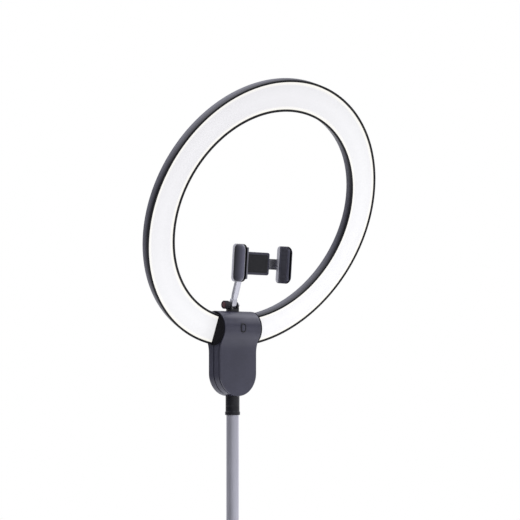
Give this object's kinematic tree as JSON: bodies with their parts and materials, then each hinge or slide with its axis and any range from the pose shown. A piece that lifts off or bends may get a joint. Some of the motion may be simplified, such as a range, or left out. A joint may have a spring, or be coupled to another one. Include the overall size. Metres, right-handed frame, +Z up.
{
  "type": "ring light",
  "caption": "Ring-shaped soft light on a tilting, swivelling head with a sprung phone clamp on a leaning arm, on a telescopic pole with a weighted round base.",
  "frame": {"origin": "centre of the rubber foot on the floor, under the pole", "axes": "+Z up along the pole, -Y is the side the light shines to, +X to the right of someone looking at the lit face"},
  "size_m": [0.4204, 0.3137, 1.2928],
  "materials": {
    "rubber": "matt black rubber",
    "base_paint": "fine textured black powder coat",
    "steel": "plain bright steel",
    "black_plastic": "satin black moulding",
    "collar_black": "semi-gloss black moulding",
    "pole_metal": "satin silver anodised tube",
    "arm_metal": "satin silver",
    "natural_plastic": "natural acetal",
    "charcoal_plastic": "fine-textured charcoal moulding",
    "ring_casing_plastic": "satin charcoal moulding",
    "circuit_board": "green solder mask",
    "white_board": "white solder mask",
    "opal_diffuser": "opal white, lit from behind",
    "silver_plastic": "silver-grey satin moulding",
    "red_brown_cap": "red-brown end cap"
  },
  "bodies": {
    "base": {"base_pad": "rubber", "base_plate": "base_paint", "base_bolt": "steel", "base_hub": "black_plastic", "tube_plug": "steel", "lower_tube": "pole_metal", "lock_collar": "black_plastic", "lock_bush": "natural_plastic"},
    "pole_lock": {"lock_knob": "black_plastic", "lock_screw": "steel"},
    "pole": {"upper_tube": "pole_metal", "tube_end_bush": "natural_plastic", "collar_lower": "collar_black", "swivel_spigot": "steel", "swivel_nut": "steel"},
    "head": {"collar_upper": "collar_black", "front_cover": "charcoal_plastic", "front_shell": "black_plastic", "rear_shell": "charcoal_plastic", "housing_screw_1": "steel", "housing_screw_2": "steel", "housing_screw_3": "steel", "housing_screw_4": "steel", "button_bezel": "charcoal_plastic", "switch_board": "circuit_board", "driver_board": "circuit_board", "power_jack": "black_plastic", "hinge_stirrup": "steel", "hinge_bush_left": "natural_plastic", "hinge_bush_right": "natural_plastic", "arm_clevis": "black_plastic", "arm_bolt_nut": "steel"},
    "button": {"button_cap": "charcoal_plastic"},
    "ring": {"ring_casing": "ring_casing_plastic", "ring_diffuser": "opal_diffuser", "led_board": "white_board", "ring_end_left": "black_plastic", "ring_end_right": "black_plastic", "ring_screw_1": "steel", "ring_screw_2": "steel", "hinge_tube": "steel", "tilt_collar_left": "steel", "tilt_collar_right": "steel"},
    "arm": {"arm_rod": "arm_metal", "ball_cup": "black_plastic"},
    "arm_lock": {"arm_knob": "black_plastic", "arm_knob_cap": "red_brown_cap"},
    "ball_lock": {"ball_nut": "black_plastic"},
    "ball": {"ball_stud": "steel"},
    "clamp": {"clamp_body": "charcoal_plastic", "clamp_cover": "charcoal_plastic", "clamp_back_pad": "rubber", "clamp_spring": "steel", "jaw_left": "silver_plastic", "jaw_panel_left": "charcoal_plastic", "jaw_pad_left": "rubber"},
    "jaw": {"jaw_right": "silver_plastic", "jaw_panel_right": "charcoal_plastic", "jaw_pad_right": "rubber", "slide_plate": "steel"}
  },
  "joints": [
    {"name": "pole_lock_turn", "type": "hinge", "parent": "base", "child": "pole_lock", "pos_m": [0, 0.02, 0.572], "axis": [0, 1, 0], "range_deg": [-180, 180]},
    {"name": "height_slide", "type": "slide", "parent": "base", "child": "pole", "axis": [0, 0, 1], "range_m": [-0.165, 0.3]},
    {"name": "head_swivel", "type": "hinge", "parent": "pole", "child": "head", "pos_m": [0, 0, 0.8133], "axis": [0, 0, 1], "range_deg": [-170, 170]},
    {"name": "ring_tilt", "type": "hinge", "parent": "head", "child": "ring", "pos_m": [0, 0, 0.9315], "axis": [1, 0, 0], "range_deg": [-65, 65]},
    {"name": "button_press", "type": "slide", "parent": "head", "child": "button", "axis": [0, 0.9998, -0.0209], "range_m": [0, 0.0006]},
    {"name": "arm_tilt", "type": "hinge", "parent": "head", "child": "arm", "pos_m": [0, 0, 0.9674], "axis": [1, 0, 0], "range_deg": [-45, 30]},
    {"name": "arm_knob_turn", "type": "hinge", "parent": "head", "child": "arm_lock", "pos_m": [-0.015, 0, 0.9674], "axis": [1, 0, 0], "range_deg": [-180, 180]},
    {"name": "ball_nut_turn", "type": "hinge", "parent": "arm", "child": "ball_lock", "pos_m": [0, -0.0375, 1.0295], "axis": [0, -1, 0], "range_deg": [-90, 90]},
    {"name": "ball_tilt", "type": "hinge", "parent": "arm", "child": "ball", "pos_m": [0, -0.0375, 1.0295], "axis": [1, 0, 0], "range_deg": [-35, 25]},
    {"name": "clamp_spin", "type": "hinge", "parent": "ball", "child": "clamp", "pos_m": [0, -0.0375, 1.0295], "axis": [0, -0.9962, -0.0872], "range_deg": [-180, 180]},
    {"name": "jaw_slide", "type": "slide", "parent": "clamp", "child": "jaw", "axis": [1, 0, 0], "range_m": [-0.02, 0.01], "deforming": ["clamp_spring"]}
  ]
}
